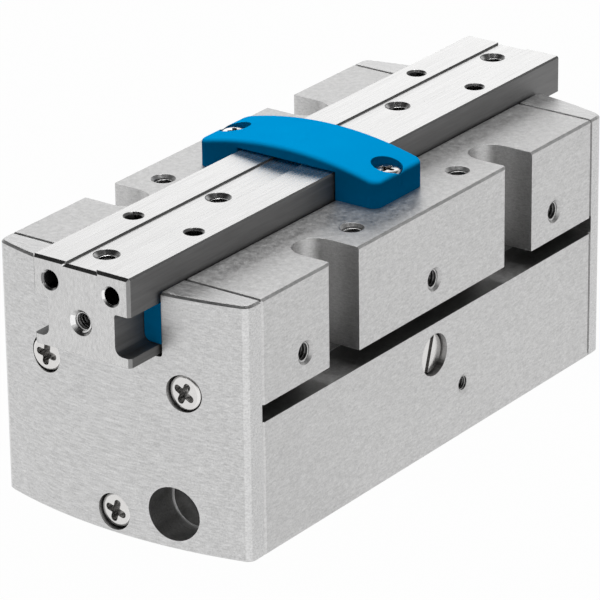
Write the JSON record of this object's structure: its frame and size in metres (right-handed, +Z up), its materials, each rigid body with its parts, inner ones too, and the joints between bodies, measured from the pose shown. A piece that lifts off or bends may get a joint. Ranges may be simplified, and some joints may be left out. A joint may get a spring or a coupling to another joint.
{
  "type": "pneumatic parallel gripper",
  "caption": "Pneumatic parallel gripper: block housing with bulged end covers and grooved steel base jaws that slide apart under an arched bridge, driven through racks and a pinion.",
  "frame": {"origin": "centre of the underside: the middle of the bounding box at its bottom, on the mounting face", "axes": "+X along the jaw travel, from the front jaw to the rear jaw; +Y to the side away from the vent plug; +Z up, from the mounting face to the jaws"},
  "size_m": [0.128, 0.052, 0.0533],
  "materials": {
    "housing_aluminium": "satin anodised",
    "cover_aluminium": "brushed",
    "ground_steel": "ground lengthwise",
    "hardened_steel": "hardened and ground",
    "nickel_steel": "nickel plated",
    "blue_plastic": "moulded, slight gloss",
    "bush_bronze": "sintered",
    "seal_rubber": "matte",
    "magnet_metal": "nickel plated"
  },
  "bodies": {
    "body": {"housing": "housing_aluminium", "transfer_plug": "nickel_steel", "front_cover": "cover_aluminium", "rear_cover": "cover_aluminium", "front_cover_screws": "nickel_steel", "rear_cover_screws": "nickel_steel", "left_rail": "hardened_steel", "right_rail": "hardened_steel", "front_left_wiper": "blue_plastic", "front_right_wiper": "blue_plastic", "rear_left_wiper": "blue_plastic", "rear_right_wiper": "blue_plastic", "bridge": "blue_plastic", "bridge_screws": "nickel_steel", "vent_plug": "nickel_steel", "base_plug": "cover_aluminium", "lower_bush": "bush_bronze", "upper_bush": "bush_bronze", "right_bore_front_plug": "cover_aluminium", "right_bore_rear_plug": "cover_aluminium", "left_bore_front_plug": "cover_aluminium", "left_bore_rear_plug": "cover_aluminium", "right_bore_front_seal": "seal_rubber", "right_bore_rear_seal": "seal_rubber", "left_bore_front_seal": "seal_rubber", "left_bore_rear_seal": "seal_rubber"},
    "front_jaw": {"front_jaw": "ground_steel", "front_jaw_rack": "hardened_steel", "front_rack_screws": "nickel_steel", "front_rack_pin": "hardened_steel"},
    "rear_jaw": {"rear_jaw": "ground_steel", "rear_jaw_rack": "hardened_steel", "rear_rack_screws": "nickel_steel", "rear_rack_pin": "hardened_steel"},
    "pinion": {"pinion": "hardened_steel"},
    "right_piston": {"right_piston": "hardened_steel", "right_piston_front_seal": "seal_rubber", "right_piston_rear_seal": "seal_rubber", "right_magnet": "magnet_metal"},
    "left_piston": {"left_piston": "hardened_steel", "left_piston_front_seal": "seal_rubber", "left_piston_rear_seal": "seal_rubber", "left_magnet": "magnet_metal"}
  },
  "joints": [
    {"name": "front_jaw_slide", "type": "slide", "parent": "body", "child": "front_jaw", "axis": [-1, 0, 0], "range_m": [0, 0.02]},
    {"name": "rear_jaw_slide", "type": "slide", "parent": "body", "child": "rear_jaw", "axis": [1, 0, 0], "range_m": [0, 0.02]},
    {"name": "pinion_turn", "type": "hinge", "parent": "body", "child": "pinion", "pos_m": [0, 0, 0.02], "axis": [0, 0, -1], "range_deg": [0, 191]},
    {"name": "right_piston_slide", "type": "slide", "parent": "body", "child": "right_piston", "axis": [-1, 0, 0], "range_m": [0, 0.02]},
    {"name": "left_piston_slide", "type": "slide", "parent": "body", "child": "left_piston", "axis": [1, 0, 0], "range_m": [0, 0.02]}
  ],
  "couplings": [
    {"joint": "rear_jaw_slide", "follows": "front_jaw_slide", "ratio": 1},
    {"joint": "pinion_turn", "follows": "front_jaw_slide", "rad_per_m": 166.67},
    {"joint": "right_piston_slide", "follows": "front_jaw_slide", "ratio": 1},
    {"joint": "left_piston_slide", "follows": "front_jaw_slide", "ratio": 1}
  ]
}
